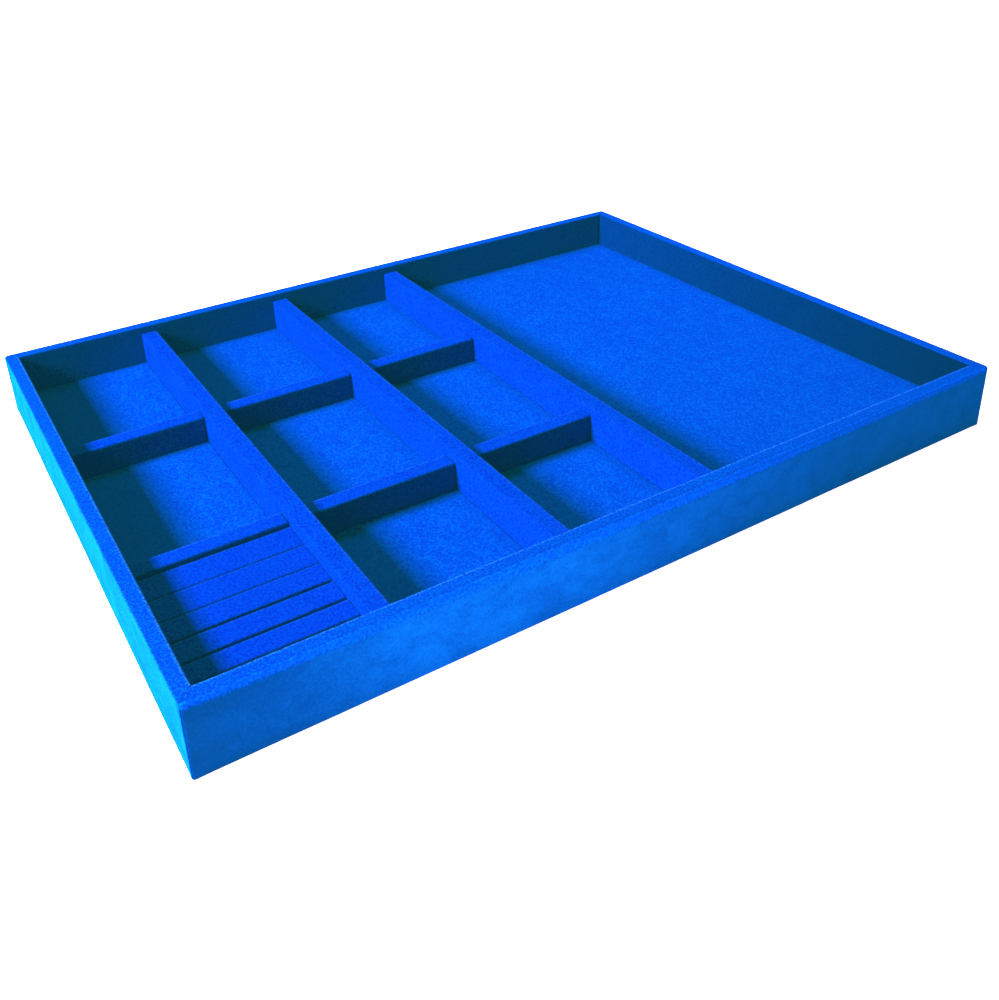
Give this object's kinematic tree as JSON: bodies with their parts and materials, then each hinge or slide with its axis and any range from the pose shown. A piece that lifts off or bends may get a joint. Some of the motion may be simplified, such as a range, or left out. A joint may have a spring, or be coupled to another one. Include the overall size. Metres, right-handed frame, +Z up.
{
  "type": "coin display tray",
  "caption": "Shallow rectangular velour-covered display tray with divided small compartments, a large open compartment and a lift-out insert of slotted padded bars.",
  "frame": {"origin": "centre of the tray's footprint, on the surface it rests on", "axes": "+X along the long side towards the large compartment, +Y towards the back rim, +Z up"},
  "size_m": [0.4, 0.3, 0.032],
  "materials": {
    "velour": "short royal blue pile, matt",
    "floor_velour": "short royal blue pile, matt",
    "insert_velour": "short royal blue pile, matt",
    "bare_wood": "planed, uncoated",
    "base_board": "smooth fibreboard, uncoated",
    "card": "uncoated grey board",
    "foam": "open-cell foam",
    "underside_felt": "pressed felt, matt"
  },
  "bodies": {
    "tray": {"base_board": "base_board", "cross_divider_left_back_core": "bare_wood", "cross_divider_left_back_velour": "velour", "cross_divider_left_front_core": "bare_wood", "cross_divider_left_front_velour": "velour", "cross_divider_middle_back_core": "bare_wood", "cross_divider_middle_back_velour": "velour", "cross_divider_middle_front_core": "bare_wood", "cross_divider_middle_front_velour": "velour", "cross_divider_right_back_core": "bare_wood", "cross_divider_right_back_velour": "velour", "cross_divider_right_front_core": "bare_wood", "cross_divider_right_front_velour": "velour", "floor_large_card": "card", "floor_large_velour": "floor_velour", "floor_left_back_card": "card", "floor_left_back_velour": "floor_velour", "floor_left_centre_card": "card", "floor_left_centre_velour": "floor_velour", "floor_middle_back_card": "card", "floor_middle_back_velour": "floor_velour", "floor_middle_centre_card": "card", "floor_middle_centre_velour": "floor_velour", "floor_middle_front_card": "card", "floor_middle_front_velour": "floor_velour", "floor_right_back_card": "card", "floor_right_back_velour": "floor_velour", "floor_right_centre_card": "card", "floor_right_centre_velour": "floor_velour", "floor_right_front_card": "card", "floor_right_front_velour": "floor_velour", "long_divider_left_core": "bare_wood", "long_divider_left_velour": "velour", "long_divider_middle_core": "bare_wood", "long_divider_middle_velour": "velour", "long_divider_right_core": "bare_wood", "long_divider_right_velour": "velour", "rim_rail_back": "bare_wood", "rim_rail_front": "bare_wood", "rim_rail_left": "bare_wood", "rim_rail_right": "bare_wood", "rim_velour_back": "velour", "rim_velour_front": "velour", "rim_velour_left": "velour", "rim_velour_right": "velour", "underside_felt_liner": "underside_felt"},
    "slot_insert": {"insert_bar_1_foam": "foam", "insert_bar_1_velour": "insert_velour", "insert_bar_2_foam": "foam", "insert_bar_2_velour": "insert_velour", "insert_bar_3_foam": "foam", "insert_bar_3_velour": "insert_velour", "insert_bar_4_foam": "foam", "insert_bar_4_velour": "insert_velour", "insert_bar_5_foam": "foam", "insert_bar_5_velour": "insert_velour", "insert_bar_6_foam": "foam", "insert_bar_6_velour": "insert_velour", "insert_card": "card"}
  },
  "joints": [
    {"name": "insert_lift", "type": "slide", "parent": "tray", "child": "slot_insert", "axis": [0, 0, 1], "range_m": [0, 0.04]}
  ]
}
